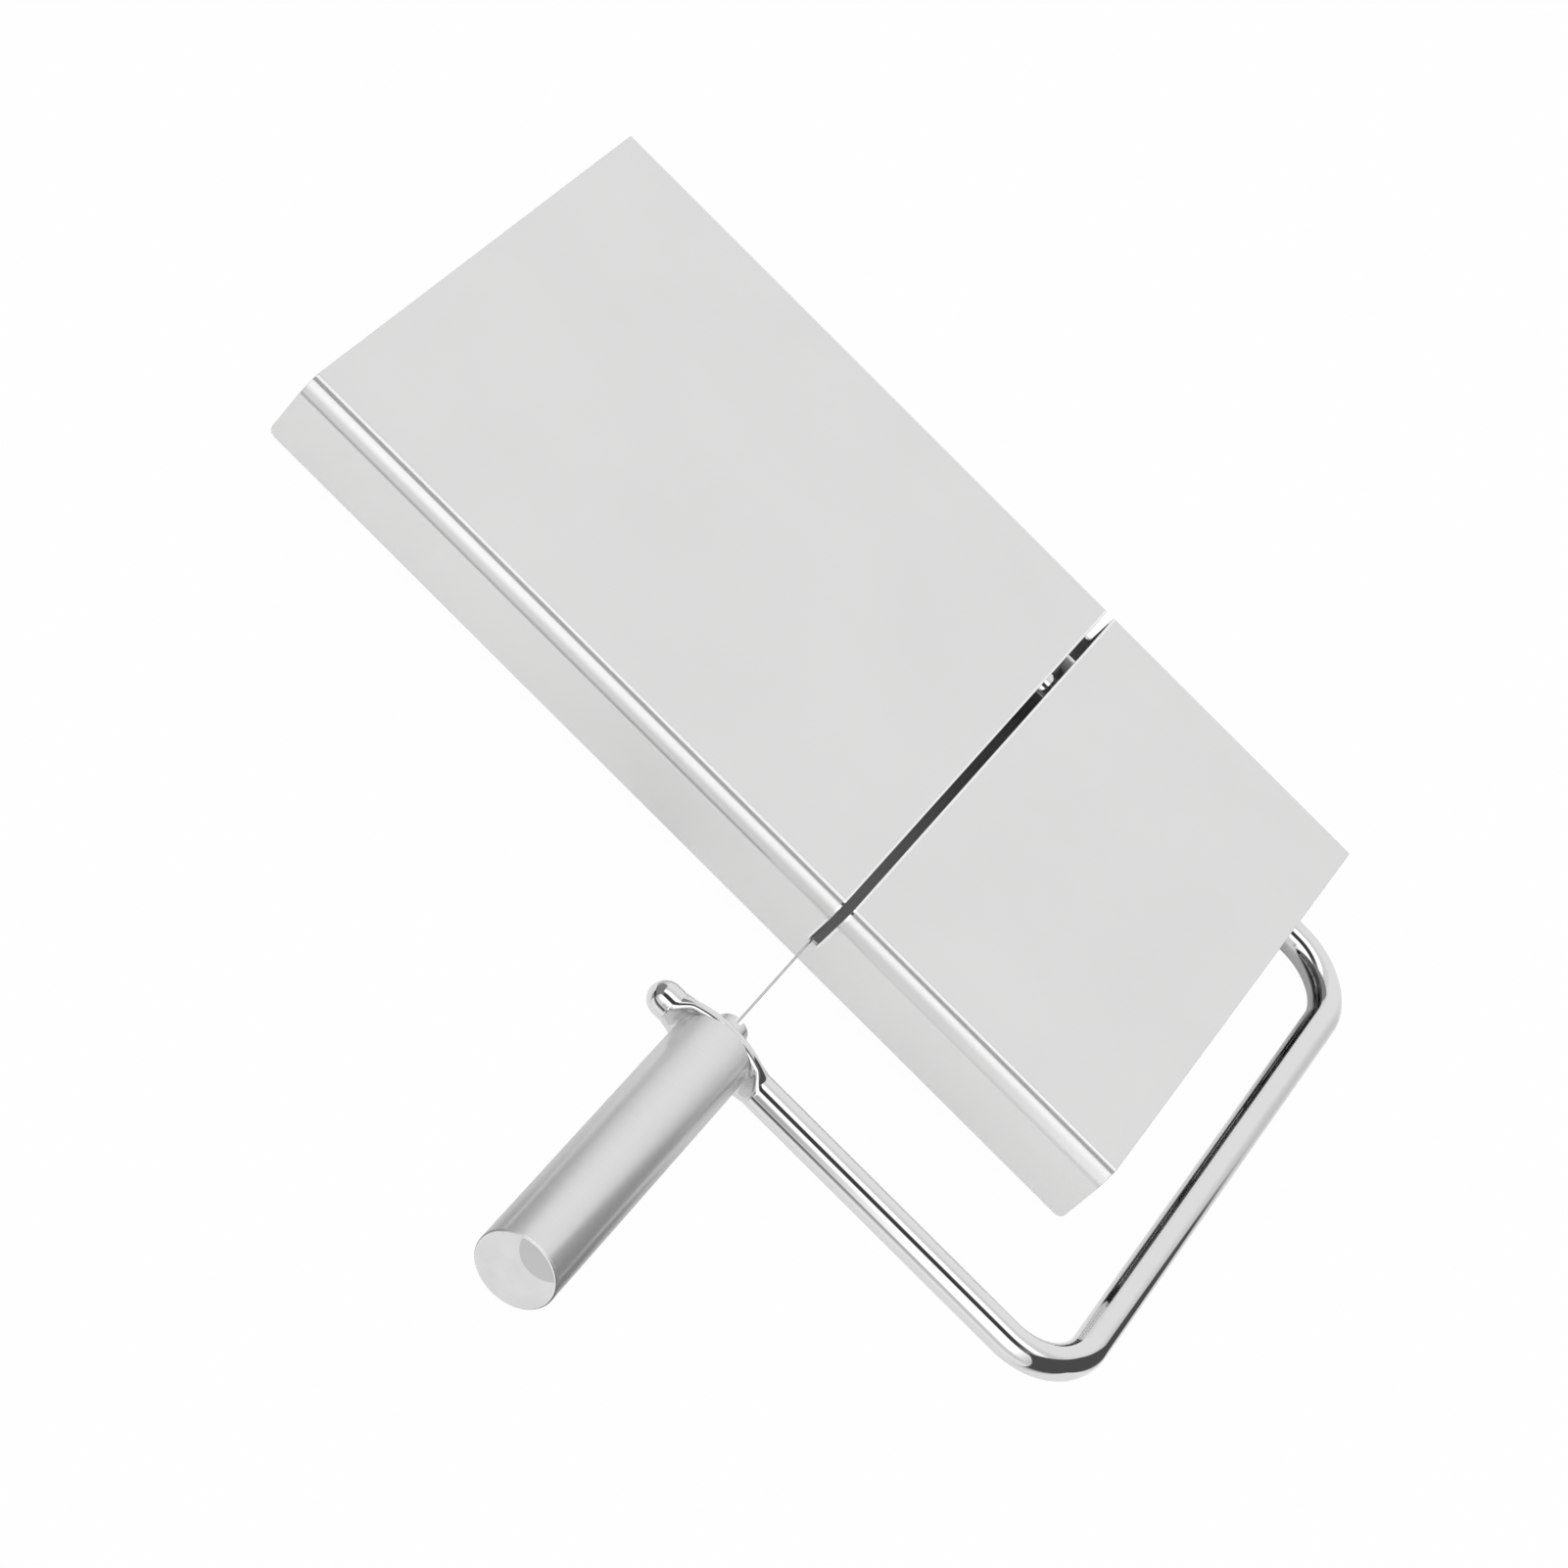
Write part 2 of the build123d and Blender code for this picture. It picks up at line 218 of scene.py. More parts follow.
def tube_finish():
    """Satin tube, brushed round."""
    material, build, place = finish("brushed_tube_steel")
    grain = build.noise(build.stretched(place, (120.0, 5000.0, 120.0)), 1.0, 2.0, 0.6)
    cloud = build.noise(place, 60.0, 2.0)
    roughness = 0.22 + 0.05 * (grain - 0.5) + 0.04 * (cloud - 0.5)
    shade = build.mix_colour(grain, (0.89, 0.89, 0.89), (0.95, 0.95, 0.95))
    metal(build, shade, roughness, grain, 0.01 * MM, 0.6, 0.7)
    return material


def cap_finish():
    """Satin disc with a bright rim and a painted dark reflection: a darker round patch over its
    upper edge.
    """
    material, build, place = finish("brushed_cap_steel")
    grain = build.noise(build.stretched(place, (900.0, 90.0, 900.0)), 1.0, 3.0, 0.6)
    x, y, z = build.split(place)
    out = ((x - WIRE_X) ** 2 + (z - AXIS_Z) ** 2) ** 0.5
    rim = build.step(out, CAP_FACE - CAP_FACE_SOFT, CAP_FACE + CAP_FACE_SOFT)
    roughness = build.mix(rim, 0.16 + 0.06 * (grain - 0.5), 0.42)
    cloud = build.noise(place, 260.0, 2.0)
    shade = build.mix_colour(cloud, (0.78, 0.78, 0.775), (0.9, 0.9, 0.895))
    # painted dark reflection: the colour drops to 0.64 inside a circle over the cap's upper edge
    off_reflection = ((x - PAINTED_REFLECTION_X) ** 2 + (z - PAINTED_REFLECTION_Z) ** 2) ** 0.5
    painted_reflection = build.step(off_reflection, PAINTED_REFLECTION_RADIUS - PAINTED_REFLECTION_SOFT, PAINTED_REFLECTION_RADIUS + PAINTED_REFLECTION_SOFT, 1, 0)
    shade = build.mix_colour(painted_reflection, shade, (0.64, 0.64, 0.635))
    shade = build.mix_colour(rim, shade, (0.99, 0.99, 0.985))
    metal(build, shade, roughness, grain, 0.0008 * MM, 0.3 * (1 - rim), 0.5)
    return material


def turned_finish():
    """Bright steel with the fine rings of the lathe."""
    material, build, place = finish("turned_steel")
    grain = build.noise(build.stretched(place, (120.0, 3000.0, 120.0)), 1.0, 2.0)
    shade = build.mix_colour(grain, (0.8, 0.8, 0.8), (0.86, 0.86, 0.86))
    metal(build, shade, 0.12 + 0.08 * grain, grain, 0.002 * MM, 0.3, 0.5)
    return material


def plain_finish(name, colour, roughness):
    """Steel as it comes from the mill, faintly cloudy."""
    material, build, place = finish(name)
    cloud = build.noise(place, 160.0, 3.0)
    darker = tuple(part * 0.94 for part in colour)
    metal(build, build.mix_colour(cloud, darker, colour), roughness + 0.08 * (cloud - 0.5))
    return material


def rubber_finish():
    """Matt black rubber."""
    material, build, place = finish("foot_rubber")
    cloud = build.noise(place, 700.0, 3.0)
    shade = build.mix_colour(cloud, (0.018, 0.018, 0.018), (0.032, 0.032, 0.031))
    sockets = {
        "Base Color": shade,
        "Roughness": 0.62 + 0.2 * (cloud - 0.5),
        "Normal": build.add("ShaderNodeBump", None, {"Distance": 0.03 * MM, "Height": cloud}),
    }
    shader = build.add("ShaderNodeBsdfPrincipled", None, sockets)
    build.add("ShaderNodeOutputMaterial", None, {"Surface": shader})
    return material


FINISHES = {
    "board_plate": sheet_finish(),
    "bow_rod": polished_finish(),
    "handle_tube": tube_finish(),
    "handle_end_cap": cap_finish(),
    "turned": turned_finish(),
    "plain": plain_finish("plain_steel", (0.62, 0.62, 0.61), 0.34),
    "spring": plain_finish("spring_steel", (0.3, 0.3, 0.3), 0.3),
    "barrel": plain_finish("dull_steel", (0.42, 0.42, 0.42), 0.5),
    "wire": plain_finish("wire_steel", (0.7, 0.7, 0.7), 0.2),
    "rubber": rubber_finish(),
}
DRESS = {
    "board_plate": "board_plate",
    "bow_rod": "bow_rod",
    "handle_tube": "handle_tube",
    "handle_end_cap": "handle_end_cap",
    "handle_insert": "turned",
    "tension_stud": "turned",
    "hinge_bracket_inner": "plain",
    "hinge_bracket_outer": "plain",
    "wire_ball": "plain",
    "wire_barrel": "barrel",
    "retaining_ring_left": "spring",
    "retaining_ring_right": "spring",
    "cutting_wire": "wire",
    "foot_front_left": "rubber",
    "foot_front_right": "rubber",
    "foot_back_left": "rubber",
    "foot_back_right": "rubber",
}
for node, which in DRESS.items():
    for place in nodes[node].material_slots:
        place.material = FINISHES[which]


# ---------------------------------------------------------------- shaping helpers
ACROSS = Vector((1, 0, 0))


def corners(node):
    low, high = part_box(node)
    return Vector(low), Vector(high)


def only(made, kind):
    return [part for part in made if isinstance(part, kind)]


def pushed(build, edges, step):
    """Edges extruded by a step; gives the new edges."""
    made = bmesh.ops.extrude_edge_only(build, edges=edges)["geom"]
    points = only(made, bmesh.types.BMVert)
    bmesh.ops.translate(build, verts=points, vec=step)
    points = set(points)
    return [edge for edge in only(made, bmesh.types.BMEdge) if points.issuperset(edge.verts)]


def line_on(build, pen, step):
    """The line goes straight on by a step."""
    pen = bmesh.ops.extrude_vert_indiv(build, verts=[pen])["verts"][0]
    bmesh.ops.translate(build, verts=[pen], vec=step)
    return pen


def fold_on(build, pen, heading, radius, degrees, steps):
    """The line goes on round a fold whose axis is X, turning right as seen from +X."""
    centre = pen.co + radius * Vector((0, heading.z, -heading.y))
    turn = math.radians(-degrees)
    made = bmesh.ops.spin(
        build, geom=[pen], cent=centre, axis=ACROSS, angle=turn, steps=steps,
        use_merge=False, use_duplicate=False,
    )["geom_last"]
    return only(made, bmesh.types.BMVert)[0], Matrix.Rotation(turn, 3, "X") @ heading


def cut_at(build, place, normal):
    everything = build.verts[:] + build.edges[:] + build.faces[:]
    bmesh.ops.bisect_plane(build, geom=everything, plane_co=place, plane_no=normal)


def rounded(build, points, radius, steps):
    bmesh.ops.bevel(
        build, geom=points, offset=radius, offset_type="OFFSET", affect="VERTICES",
        segments=steps, profile=0.5, material=-1, clamp_overlap=False,
    )


def piece_from(build, name, material):
    mesh = bpy.data.meshes.new(name)
    build.to_mesh(mesh)
    build.free()
    mesh.polygons.foreach_set("use_smooth", [True] * len(mesh.polygons))
    mesh.materials.append(material)
    piece = bpy.data.objects.new(name, mesh)
    bpy.context.scene.collection.objects.link(piece)
    return piece


def softened(piece, width, steps=2, angle=40):
    """Bright broken edges, with the flats kept flat."""
    bevel = piece.modifiers.new("broken_edges", "BEVEL")
    bevel.width = width
    bevel.segments = steps
    bevel.limit_method = "ANGLE"
    bevel.angle_limit = math.radians(angle)
    bevel.use_clamp_overlap = False
    flats = piece.modifiers.new("flats", "WEIGHTED_NORMAL")
    flats.keep_sharp = False


# ---------------------------------------------------------------- board
SHEET = 1.0 * MM
FOLDS = (                      # radius, degrees and steps, from the lip to the top
    (4.8 * MM, 15, 5),
    (6.6 * MM, 29, 9),
    (3.6 * MM, 20, 6),
    (1.2 * MM, 26, 6),
)
LIP_CORNER = 1.6 * MM
NOTCH_ROUND = 0.98 * SLOT_HALF
CUT_EDGE = 0.12 * MM


def make_board():
    """The sheet's outside, folded and slotted, then thickened inwards."""
    low, high = corners("board_plate")
    build = bmesh.new()
    pen, heading = build.verts.new(low), Vector((0, 0, 1))
    fold_depth = fold_width = turned = 0
    for radius, degrees, steps in FOLDS:
        start, turned = math.radians(turned), turned + degrees
        fold_depth += radius * (math.sin(math.radians(turned)) - math.sin(start))
        fold_width += radius * (math.cos(start) - math.cos(math.radians(turned)))
    lip = high.z - low.z - fold_depth
    pen = line_on(build, pen, (0, 0, lip))
    for radius, degrees, steps in FOLDS:
        pen, heading = fold_on(build, pen, heading, radius, degrees, steps)
    pen = line_on(build, pen, (0, high.y - low.y - 2 * fold_width, 0))
    for radius, degrees, steps in reversed(FOLDS):
        pen, heading = fold_on(build, pen, heading, radius, degrees, steps)
    line_on(build, pen, (0, 0, -lip))
    pushed(build, build.edges[:], (high.x - low.x, 0, 0))
    for side in (-1, 1):
        cut_at(build, (SLOT_MIDDLE + side * SLOT_HALF, 0, 0), ACROSS)
    for floor in (FRONT_SLOT_FLOOR, BACK_SLOT_FLOOR):
        cut_at(build, (0, 0, floor), (0, 0, 1))
    middle = (low.y + high.y) / 2
    gone = []
    for face in build.faces:
        place = face.calc_center_median()
        floor = FRONT_SLOT_FLOOR if place.y < middle else BACK_SLOT_FLOOR
        if abs(place.x - SLOT_MIDDLE) < SLOT_HALF and place.z > floor:
            gone.append(face)
    bmesh.ops.delete(build, geom=gone, context="FACES")
    for side in (low.y, high.y):
        lip_faces = [f for f in build.faces if all(abs(v.co.y - side) < TINY for v in f.verts)]
        bmesh.ops.dissolve_faces(build, faces=lip_faces, use_verts=False)
    notch = [
        v for v in build.verts
        if v.co.y > middle and abs(v.co.z - BACK_SLOT_FLOOR) < TINY
        and abs(v.co.x - SLOT_MIDDLE) < 1.5 * SLOT_HALF
    ]
    rounded(build, notch, NOTCH_ROUND, 8)
    ends = [
        v for v in build.verts
        if v.co.z < low.z + TINY and not low.x + TINY < v.co.x < high.x - TINY
    ]
    rounded(build, ends, LIP_CORNER, 6)
    bmesh.ops.recalc_face_normals(build, faces=build.faces)
    if max(build.faces, key=lambda face: face.calc_area()).normal.z < 0:
        bmesh.ops.reverse_faces(build, faces=build.faces)
    board = piece_from(build, "slotted_board", FINISHES["board_plate"])
    wall = board.modifiers.new("sheet", "SOLIDIFY")
    wall.thickness = SHEET
    wall.offset = -1
    wall.use_even_offset = True
    softened(board, CUT_EDGE)
    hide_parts("board_plate")
    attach(board, "board")


# ---------------------------------------------------------------- bow
HINGE_Y, FRONT_Y = 98.875 * MM, -47.725 * MM
SIDE_X, HINGE_END_X = 112.0 * MM, 16.0 * MM
ROD_RADIUS, ROD_BEND = 3.5 * MM, 14.0 * MM
DOME_X = 11.5 * MM
EYE_HALF_THICK, EYE_HALF_HIGH = 1.5 * MM, 6.6 * MM
EYE_OUTLINE = 19.7 * MM        # radius of the eye's upper and lower outline
EYE_FLAT_END, EYE_RUNOUT = 8.8 * MM, 2.0 * MM
EYE_SWELL_START, EYE_SWELL_LENGTH = 7.8 * MM, 3.4 * MM   # where the eye thickens into the rod
EYE_FINE = [12.5 - 0.2 * n for n in range(20)]           # sections, in mm from the eye's middle
EYE_SECTIONS = EYE_FINE + [8.5 - 0.5 * n for n in range(17)]
FLAT_BLEND, OUTLINE_BLEND = 0.5 * MM, 0.12 * MM
HOOP_SIDES, BEND_STEPS = 64, 24
GROOVE_RADIUS, GROOVE_HALF = 3.1 * MM, 0.52 * MM
GROOVE_SLOPE = 0.01 * MM
RING_MIDDLES = (36.7 * MM, 40.3 * MM)
HINGE_CHAMFER = 0.8 * MM
SEAT_Y = 101.875 * MM
STUD_HOLE, BARREL_HOLE, WIRE_HOLE = 3.55 * MM, 2.55 * MM, 0.45 * MM      # radii


def smaller(a, b, soft):
    """The smaller of two lengths, blended over a soft zone."""
    return 0.5 * (a + b - math.sqrt((a - b) ** 2 + soft ** 2))


def hoop(build, centre, side, thick, high, flat=1.0):
    """A ring round the rod, of this half thickness and half height, cut flat at the sides."""
    ring = bmesh.ops.create_circle(build, radius=1.0, segments=HOOP_SIDES)["verts"]
    turn = Matrix.Rotation(math.pi / HOOP_SIDES, 3, "Z")
    bmesh.ops.rotate(build, verts=ring, cent=(0, 0, 0), matrix=turn)
    for vert in ring:
        aside, up = thick * vert.co.x, thick * vert.co.y
        up += math.copysign(high - thick, up)
        if abs(aside) > 0.5 * flat:
            aside = math.copysign(smaller(abs(aside), flat, FLAT_BLEND), aside)
        vert.co = centre + side * aside + Vector((0, 0, up))
    rim = set(ring)
    return [edge for edge in build.edges if edge.verts[0] in rim and edge.verts[1] in rim]


def eye_sizes(away):
    """Half thickness, half height and flat of the rod, this far from the eye's middle."""
    reach = min(away, 0.9 * EYE_OUTLINE)
    high = math.sqrt(EYE_OUTLINE ** 2 - reach ** 2) - EYE_OUTLINE + EYE_HALF_HIGH
    high = -smaller(-high, -ROD_RADIUS, OUTLINE_BLEND)
    rise = min(max((away - EYE_SWELL_START) / EYE_SWELL_LENGTH, 0), 1)
    thick = EYE_HALF_THICK + (ROD_RADIUS - EYE_HALF_THICK) * rise * rise * (3 - 2 * rise)
    past = min(max(away - EYE_FLAT_END, 0), EYE_RUNOUT)
    flat = EYE_HALF_THICK + EYE_RUNOUT - math.sqrt(EYE_RUNOUT ** 2 - past ** 2)
    flat = max(flat, 0.94 * thick)
    if away >= EYE_FLAT_END + EYE_RUNOUT:
        flat = 2 * ROD_RADIUS
    return thick, max(high, thick), flat


def make_bow():
    """Round rod bent twice, with an eye forged at one end and grooves and a seat at the other."""
    build = bmesh.new()
    hoops = []
    along_x, along_y = Vector((0, -1, 0)), Vector((1, 0, 0))
    for step in range(11, 0, -1):                     # domed tip
        turn = math.radians(8 * step)
        place = Vector((DOME_X - ROD_RADIUS * math.sin(turn), FRONT_Y, AXIS_Z))
        small = ROD_RADIUS * math.cos(turn)
        hoops.append(hoop(build, place, along_x, small, small))
    for away in [-section for section in EYE_SECTIONS] + EYE_SECTIONS[::-1]:
        place = Vector((WIRE_X + away * MM, FRONT_Y, AXIS_Z))
        hoops.append(hoop(build, place, along_x, *eye_sizes(abs(away) * MM)))
    for centre, start in (
        (Vector((SIDE_X - ROD_BEND, FRONT_Y + ROD_BEND, AXIS_Z)), -90),
        (Vector((SIDE_X - ROD_BEND, HINGE_Y - ROD_BEND, AXIS_Z)), 0),
    ):
        for step in range(BEND_STEPS + 1):
            turn = math.radians(start + 90 * step / BEND_STEPS)
            out = Vector((math.cos(turn), math.sin(turn), 0))
            hoops.append(hoop(build, centre + ROD_BEND * out, out, ROD_RADIUS, ROD_RADIUS))
    hinge = []                                        # places along X and radii
    for middle in reversed(RING_MIDDLES):
        hinge += [
            (middle + GROOVE_HALF, ROD_RADIUS),
            (middle + GROOVE_HALF - GROOVE_SLOPE, GROOVE_RADIUS),
            (middle - GROOVE_HALF + GROOVE_SLOPE, GROOVE_RADIUS),
            (middle - GROOVE_HALF, ROD_RADIUS),
        ]
    hinge += [(HINGE_END_X + HINGE_CHAMFER, ROD_RADIUS), (HINGE_END_X, ROD_RADIUS - HINGE_CHAMFER)]
    for x, radius in hinge:
        hoops.append(hoop(build, Vector((x, HINGE_Y, AXIS_Z)), -along_x, radius, radius))
    for before, after in zip(hoops, hoops[1:]):
        bmesh.ops.bridge_loops(build, edges=before + after)
    bmesh.ops.holes_fill(build, edges=hoops[0] + hoops[-1])
    bmesh.ops.recalc_face_normals(build, faces=build.faces)
    bow = piece_from(build, "bent_bow", FINISHES["bow_rod"])

    drill = bmesh.new()
    for radius, start, end in (
        (STUD_HOLE, FRONT_Y - 5 * MM, FRONT_Y + 5 * MM),
        (BARREL_HOLE, SEAT_Y, HINGE_Y + 8 * MM),
        (WIRE_HOLE, HINGE_Y - 8 * MM, SEAT_Y + 1 * MM),
    ):
        place = Matrix.Translation((WIRE_X, (start + end) / 2, AXIS_Z))
        bmesh.ops.create_cone(
            drill, cap_ends=True, segments=64, radius1=radius, radius2=radius,
            depth=end - start, matrix=place @ Matrix.Rotation(math.pi / 2, 4, "X"),
        )
    drills = piece_from(drill, "drills", FINISHES["bow_rod"])
    cut = bow.modifiers.new("holes", "BOOLEAN")
    cut.operation = "DIFFERENCE"
    cut.solver = "EXACT"
    cut.use_self = True
    cut.object = drills
    cut_bow = bow.evaluated_get(bpy.context.evaluated_depsgraph_get())
    solid = bpy.data.meshes.new_from_object(cut_bow)
    solid.name = "bent_bow"
    bow.modifiers.remove(cut)
    bow.data = solid
    bpy.data.objects.remove(drills)
    solid.set_sharp_from_angle(angle=math.radians(32))
    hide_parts("bow_rod")
    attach(bow, "bow")


# ---------------------------------------------------------------- handle
HANDLE_TOP, HANDLE_END = -49.275 * MM, -122.275 * MM
HANDLE_RADIUS, HANDLE_BORE = 8.0 * MM, 7.0 * MM
TOP_ROUND, END_ROUND = 0.7 * MM, 0.12 * MM
CAP_THICK, CAP_DOME, CAP_RIM = 1.0 * MM, 0.45 * MM, 0.38 * MM
CAP_STEPS = 12
SPIGOT_RADIUS, SPIGOT_LENGTH = 6.98 * MM, 6.0 * MM


def turned(build, profile, steps=96):
    """A profile of (distance from the wire's line, y) spun round that line."""
    centre = Vector((WIRE_X, 0, AXIS_Z))
    points = [build.verts.new(centre + Vector((out, y, 0))) for out, y in profile]
    edges = [build.edges.new(pair) for pair in zip(points, points[1:])]
    bmesh.ops.spin(
        build, geom=points + edges, cent=centre, axis=(0, 1, 0), angle=2 * math.pi, steps=steps,
        use_merge=True,
    )
    bmesh.ops.remove_doubles(build, verts=build.verts, dist=TINY)
    bmesh.ops.recalc_face_normals(build, faces=build.faces)


def round_over(out, y, radius, start, steps=5):
    """Points of a quarter circle about (out, y), from the start angle upwards."""
    angles = [math.radians(start + 90 * step / steps) for step in range(steps + 1)]
    return [(out + radius * math.cos(a), y + radius * math.sin(a)) for a in angles]


def make_handle():
    """A tube with rounded ends, and a slightly domed cap on a spigot."""
    build = bmesh.new()
    tube_end = HANDLE_END + CAP_THICK
    profile = [(HANDLE_BORE, tube_end)]
    profile += round_over(HANDLE_RADIUS - END_ROUND, tube_end + END_ROUND, END_ROUND, -90)
    profile += round_over(HANDLE_RADIUS - TOP_ROUND, HANDLE_TOP - TOP_ROUND, TOP_ROUND, 0)
    profile += [(HANDLE_BORE, HANDLE_TOP), (HANDLE_BORE, tube_end)]
    turned(build, profile)
    tube = piece_from(build, "satin_grip", FINISHES["handle_tube"])
    tube.data.set_sharp_from_angle(angle=math.radians(50))
    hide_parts("handle_tube")
    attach(tube, "handle")

    build = bmesh.new()
    face_edge = CAP_FACE - 0.02 * MM
    ball = (face_edge ** 2 + CAP_DOME ** 2) / (2 * CAP_DOME)
    profile = []
    for step in range(CAP_STEPS + 1):
        out = face_edge * step / CAP_STEPS
        profile.append((out, HANDLE_END + ball - math.sqrt(ball ** 2 - out ** 2)))
    rim_y = HANDLE_END + CAP_DOME + CAP_RIM
    profile += round_over(HANDLE_RADIUS - CAP_RIM, rim_y, CAP_RIM, -75, 5)[:-1]
    profile += [
        (HANDLE_RADIUS, rim_y + 0.05 * MM), (HANDLE_RADIUS - 0.06 * MM, tube_end),
        (SPIGOT_RADIUS, tube_end), (SPIGOT_RADIUS, tube_end + SPIGOT_LENGTH),
        (0, tube_end + SPIGOT_LENGTH),
    ]
    turned(build, profile)
    cap = piece_from(build, "domed_end_cap", FINISHES["handle_end_cap"])
    cap.data.set_sharp_from_angle(angle=math.radians(40))
    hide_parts("handle_end_cap")
    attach(cap, "handle")


make_board()
make_bow()
make_handle()

# ---------------------------------------------------------------- studio
# levels of light
TENT, SEAM, WALL = 0.87, 0.76, 0.55
STRIP, GAP = 1.45, 0.05                    # overhead lamp, and the dark gap beside it
FRONT_LOW, FRONT_RIGHT, FRONT_MIDDLE = 0.42, 1.35, 0.3
TABLE_FRONT, TABLE_EDGE, TABLE_RIGHT = 0.9, 0.28, 0.7
RIGHT_FLAG, LEFT_FLAG = 0.08, 0.24         # dark flags at the two ends
# degrees round X: 0 at the back, 90 overhead, 180 in front; start, end and softness
SEAM_BAND, STRIP_BAND, GAP_BAND = (62, 84, 4), (84, 104, 2), (108, 131, 3)
FRONT_BAND, TABLE_BAND = (134, 181, 2), (204, 224, 3)
EDGE_BAND, EDGE_LINE = (184, 205, 2), (190, 195, 1)
FRONT_FADE, MIDDLE_LATER = (141, 163), 9   # the front lamp dims here, later in the middle
# degrees towards the right where one level gives way to the next
MIDDLE_TO_RIGHT, MIDDLE_LINE, LINE_TO_RIGHT = (3.2, 8.3), (0.5, 3), (3.8, 9.5)
WALLS_MIDDLE, WALLS_FADE = -4, (18, 56)
# the flags: their edge towards the right, overhead and in front, as parts of the direction
RIGHT_EDGE, OVERHEAD_EDGE, FORWARD_EDGE = 0.816, 0.8, 1.3
# low down on both sides: degrees of height, and degrees away from the back
LOW_BAND, BACK_FADE, AHEAD_FADE = (-8, 4, 4), (31, 37), (120, 140)
# the floor: how bright reflections see it, and where; lower close in front of the board and beside
# its right end as painted shade, with a little painted light under the slot
FLOOR_FAR, FLOOR_NEAR_PAINTED_SHADE, FLOOR_BESIDE_PAINTED_SHADE, FLOOR_PAST_BOW = 0.7, 0.5, 0.4, 0.89
FLOOR_SEEN, SLOT_PAINTED_LIGHT = 0.98, 0.05
SHADE_SOFT, SHADE_IN, SHADE_PAST, SHADE_EDGE = 3 * MM, 6 * MM, 2.2 * MM, 1.2 * MM
NEAR_LIP = (22 * MM, 1 * MM)               # distances in front of the board
PAST_BOW = (-38 * MM, -34 * MM)
BESIDE_BACK, BESIDE_EDGE = (50 * MM, 90 * MM), 4 * MM
PAINTED_LIGHT_FADE = (20 * MM, 80 * MM)
CLEAR_AHEAD = (16 * MM, 4 * MM)            # distances in front of the bow
CLEAR_RIGHT, CLEAR_BACK = (125 * MM, 135 * MM), (-30 * MM, -10 * MM)


def studio_world():
    """A white tent: a lamp overhead and one in front, a dark gap between, dark flags at the ends.

    The camera itself sees plain white.
    """
    world = bpy.data.worlds.new("studio")
    bpy.context.scene.world = world
    world.use_nodes = True
    build = Nodes(world.node_tree)
    x, y, z = build.split(build.add("ShaderNodeTexCoord", None, None, DIRECTION))
    degrees = 180 / math.pi
    round_x = x.math("ARCTAN2", z, y) * degrees
    round_x = round_x + 360 * (round_x < 0)
    height = x.math("ARCSINE", z) * degrees
    to_right = x.math("ARCSINE", x) * degrees
    aside = x.math("ABSOLUTE", x.math("ARCTAN2", x, y)) * degrees
    # overhead
    level = build.mix(build.band(round_x, *SEAM_BAND), TENT, SEAM)
    level = build.mix(build.band(round_x, *STRIP_BAND), level, STRIP)
    level = build.mix(build.band(round_x, *GAP_BAND), level, GAP)
    # in front, bright above and dim below
    low_lamp = build.step(to_right, *MIDDLE_TO_RIGHT, FRONT_LOW, FRONT_RIGHT)
    low_lamp = low_lamp + build.step(to_right, *MIDDLE_LINE, FRONT_MIDDLE, 0)
    later = build.step(to_right, *MIDDLE_LINE, MIDDLE_LATER, 0)
    lamp = build.mix(build.step(round_x - later, *FRONT_FADE), STRIP, low_lamp)
    level = build.mix(build.band(round_x, *FRONT_BAND), level, lamp)
    # the tent's ends
    walls = (to_right - WALLS_MIDDLE).math("ABSOLUTE")
    level = build.mix(build.step(walls, *WALLS_FADE), level, WALL)
    # the table in front, and its dark edge
    level = build.mix(build.band(round_x, *TABLE_BAND), level, TABLE_FRONT)
    edge = build.step(to_right, *MIDDLE_TO_RIGHT, TABLE_EDGE, TABLE_RIGHT)
    level = build.mix(build.band(round_x, *EDGE_BAND), level, edge)
    line = build.step(to_right, *LINE_TO_RIGHT, 0, TABLE_RIGHT)
    level = build.mix(build.band(round_x, *EDGE_LINE), level, line)
    # flags to the right and to the left, and low down on both sides
    beyond = x.math("MAXIMUM", y, OVERHEAD_EDGE * z)
    beyond = x.math("MAXIMUM", beyond, -FORWARD_EDGE * y)
    level = build.mix(build.step(x - RIGHT_EDGE * beyond, 0, 0.04), level, RIGHT_FLAG)
    level = build.mix(build.step(-1 * x - beyond, 0, 0.1), level, LEFT_FLAG)
    dark = build.step(x, -0.01, 0.01, build.step(aside, *BACK_FADE), 0)
    sides = build.band(height, *LOW_BAND) * dark * build.step(aside, *AHEAD_FADE, 1.0, 0.0)
    level = build.mix(sides, level, GAP)
    level = build.mix(build.ray_is("Is Camera Ray"), level, 1.0)
    shade = build.add("ShaderNodeCombineColor", None, {0: level, 1: level, 2: level})
    light = build.add("ShaderNodeBackground", None, {"Color": shade, "Strength": 1.0})
    build.add("ShaderNodeOutputWorld", None, {"Surface": light})


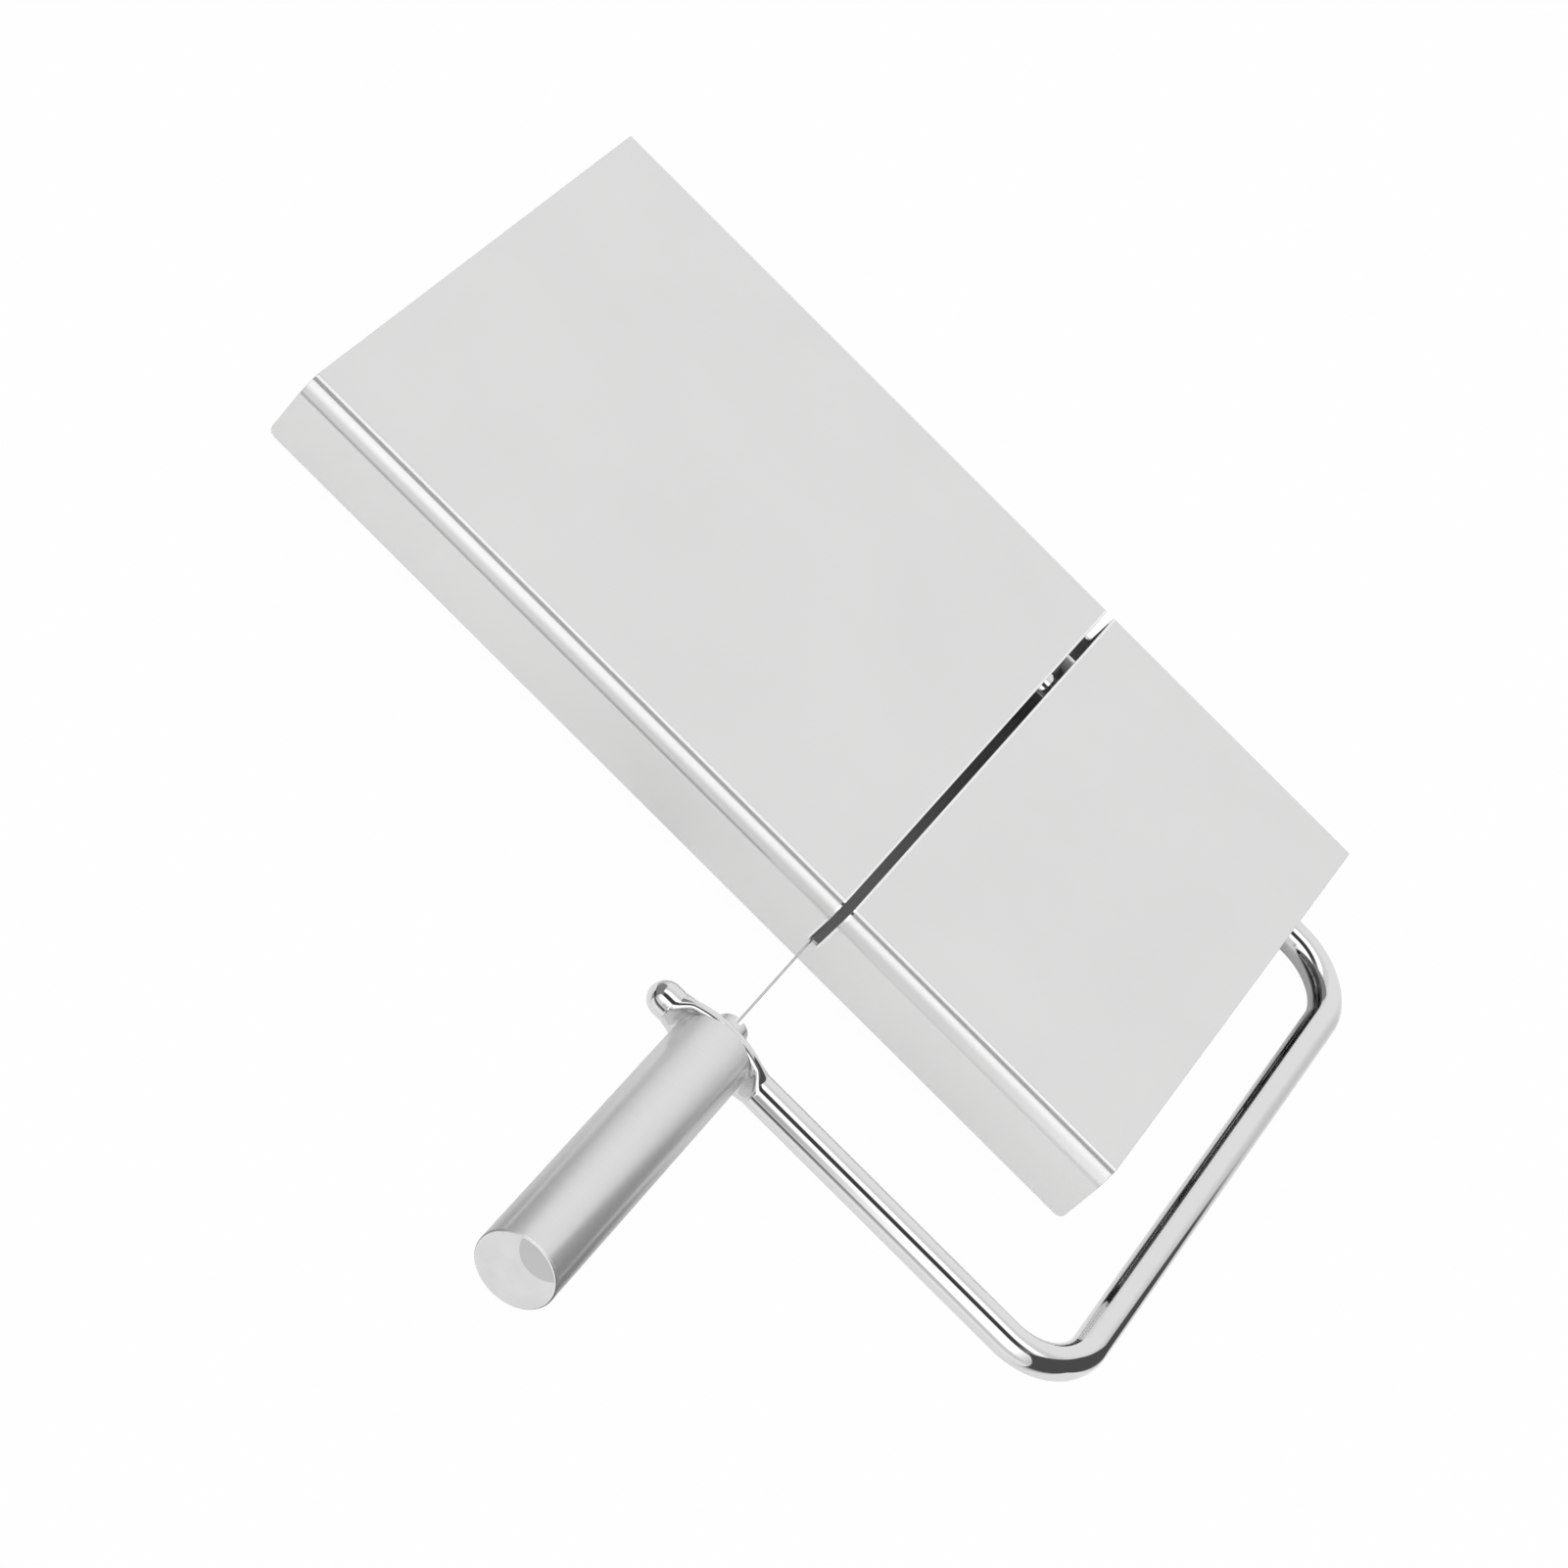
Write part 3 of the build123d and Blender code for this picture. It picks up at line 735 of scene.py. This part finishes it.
def studio_floor():
    """A white floor with painted shade under the board, where its colour is darker and its white
    light is taken off, painted shade in reflections close to the board, and a little painted light
    under the slot's front.

    It is clear from below, and clear to reflections in front of the bow and to its right.
    """
    bpy.ops.mesh.primitive_plane_add(size=8.0)
    floor = bpy.context.object
    floor.name = "studio_floor"
    material, build, place = finish("pale_floor")
    white = build.add("ShaderNodeEmission", None, {"Color": (1.0, 1.0, 1.0), "Strength": 1.0})
    x, y, z = build.split(place)
    low, high = corners("board_plate")
    shaded = build.band(x, low.x + SHADE_SOFT, high.x - SHADE_SOFT, SHADE_SOFT)
    shaded = shaded * build.band(y, low.y + SHADE_IN, high.y + SHADE_PAST, SHADE_EDGE)
    seen, mirrored = build.ray_is("Is Camera Ray"), build.ray_is("Is Glossy Ray")
    # painted shade: the floor's colour drops from 0.9 to 0.4 under the board
    floor_colour_with_painted_shade = build.mix_colour(shaded, (0.9, 0.9, 0.9), (0.4, 0.4, 0.4))
    matt = build.add("ShaderNodeBsdfDiffuse", None, {"Color": floor_colour_with_painted_shade})
    far, near = NEAR_LIP
    # painted shade in reflections: the floor's white light falls from 0.7 to 0.5 close in front of
    # the board
    away = build.step(y, low.y - far, low.y - near, FLOOR_FAR, FLOOR_NEAR_PAINTED_SHADE)
    away = away * build.step(y, *PAST_BOW, FLOOR_PAST_BOW, 1.0)
    # painted shade in reflections beside the board's right end
    beside = build.band(x, high.x - BESIDE_EDGE, SIDE_X, BESIDE_EDGE)
    beside = beside * build.step(y, *BESIDE_BACK)
    # painted light: a little white emission is kept on the floor under the front of the slot
    painted_light_under_slot = build.step(y, *PAINTED_LIGHT_FADE, SLOT_PAINTED_LIGHT, 0.0)
    bright = seen * FLOOR_SEEN + mirrored * (away - FLOOR_BESIDE_PAINTED_SHADE * beside)
    share = bright * (1 - shaded * (1 - painted_light_under_slot))
    top = build.add("ShaderNodeMixShader", None, {0: share, 1: matt, 2: white})
    under = Value(build, build.add("ShaderNodeNewGeometry").socket.node.outputs["Backfacing"])
    far, near = CLEAR_AHEAD
    ahead = mirrored * build.step(y, FRONT_Y - far, FRONT_Y - near, 1.0, 0.0)
    to_the_right = mirrored * build.step(x, *CLEAR_RIGHT) * build.step(y, *CLEAR_BACK)
    clear = under.math("MAXIMUM", under, ahead.math("MAXIMUM", ahead, to_the_right))
    nothing = build.add("ShaderNodeBsdfTransparent")
    surface = build.add("ShaderNodeMixShader", None, {0: clear, 1: top, 2: nothing})
    build.add("ShaderNodeOutputMaterial", None, {"Surface": surface})
    floor.data.materials.append(material)


def studio_camera():
    """The camera looks down at the board from the handle's side, rolled by an eighth of a turn."""
    place = Vector((-15.088, -666.780, 579.999)) * MM
    pitch, yaw, roll = math.radians(39.813), math.radians(1.269), math.radians(45 + 0.7062)
    level = Vector((math.sin(yaw), math.cos(yaw), 0))
    ahead = level * math.cos(pitch) - Vector((0, 0, math.sin(pitch)))
    right = Vector((math.cos(yaw), -math.sin(yaw), 0))
    down = ahead.cross(right)
    across = math.cos(roll) * right - math.sin(roll) * down
    up = -(math.sin(roll) * right + math.cos(roll) * down)
    data = bpy.data.cameras.new("camera")
    data.sensor_width = 36
    data.lens = 106.998
    data.clip_start = 0.01
    data.clip_end = 50
    camera = bpy.data.objects.new("camera", data)
    bpy.context.scene.collection.objects.link(camera)
    turn = Matrix((across, up, -ahead)).transposed()
    camera.matrix_world = Matrix.Translation(place) @ turn.to_4x4()
    bpy.context.scene.camera = camera


studio_world()
studio_floor()
studio_camera()
bpy.context.scene.view_settings.view_transform = "Standard"
